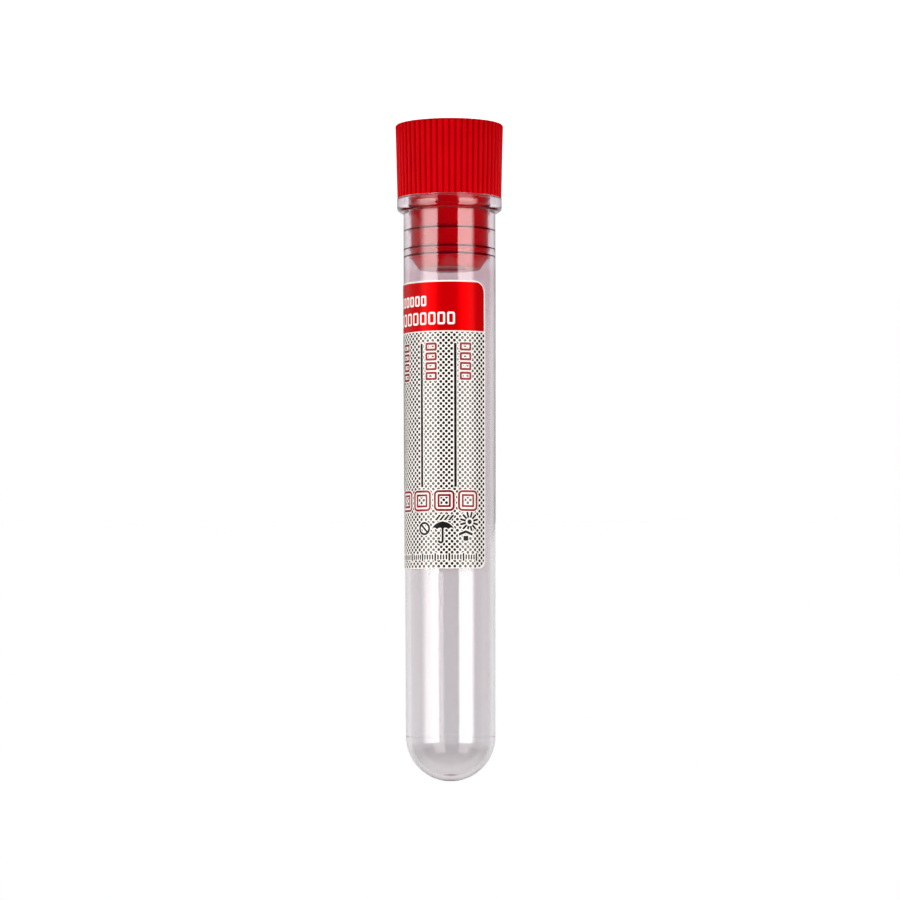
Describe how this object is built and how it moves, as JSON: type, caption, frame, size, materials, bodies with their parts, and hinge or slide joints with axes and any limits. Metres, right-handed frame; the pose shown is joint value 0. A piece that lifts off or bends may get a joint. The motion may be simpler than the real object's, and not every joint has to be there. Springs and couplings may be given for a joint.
{
  "type": "blood collection tube",
  "caption": "Clear round-bottomed sample tube with a flanged mouth, a ribbed push-in stopper and a wrap-round label, standing on the stopper's head.",
  "frame": {"origin": "centre of the stopper head's open face, which the closed tube stands on", "axes": "+Z runs along the tube's axis from the stopper's head to the round end; -Y faces the viewer, with the label's near edge towards -X"},
  "size_m": [0.0188, 0.0188, 0.1138],
  "materials": {
    "clear_polystyrene": "gloss",
    "red_polyethylene": "satin",
    "label_film": "satin"
  },
  "bodies": {
    "stopper_body": {"stopper": "red_polyethylene"},
    "tube_body": {"tube": "clear_polystyrene", "label": "label_film"}
  },
  "joints": [
    {"name": "stopper_pull", "type": "slide", "parent": "stopper_body", "child": "tube_body", "axis": [0, 0, 1], "range_m": [0, 0.025]}
  ]
}
